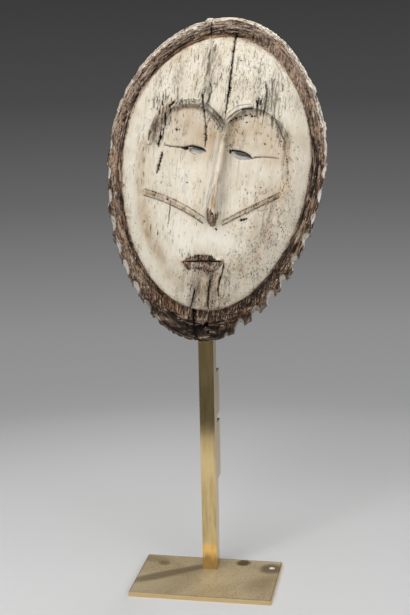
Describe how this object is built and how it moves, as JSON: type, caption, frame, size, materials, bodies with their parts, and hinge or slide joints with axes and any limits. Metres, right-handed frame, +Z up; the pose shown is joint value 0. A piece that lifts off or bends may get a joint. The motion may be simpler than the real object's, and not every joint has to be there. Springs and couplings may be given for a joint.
{
  "type": "ngontang mask",
  "caption": "Oval carved wooden face mask with a white clay field and a notched brown rim, held on a brass display stand with a square post.",
  "frame": {"origin": "middle of the base plate's underside", "axes": "+Z up along the post, face looking towards -Y, the mask's right-hand side as it is seen towards +X"},
  "size_m": [0.2111, 0.109, 0.5573],
  "materials": {
    "kaolin_wood": "white clay over carved wood, matt, worn to brown at the rim, nose and lips",
    "aged_brass": "brushed brass plate with brown tarnish",
    "bar_brass": "satin brass bar, unevenly tarnished"
  },
  "bodies": {
    "root": {"mask": "kaolin_wood", "base_plate": "aged_brass", "post": "bar_brass", "sleeve_upper": "bar_brass", "sleeve_lower": "bar_brass", "cradle": "bar_brass"}
  },
  "joints": []
}
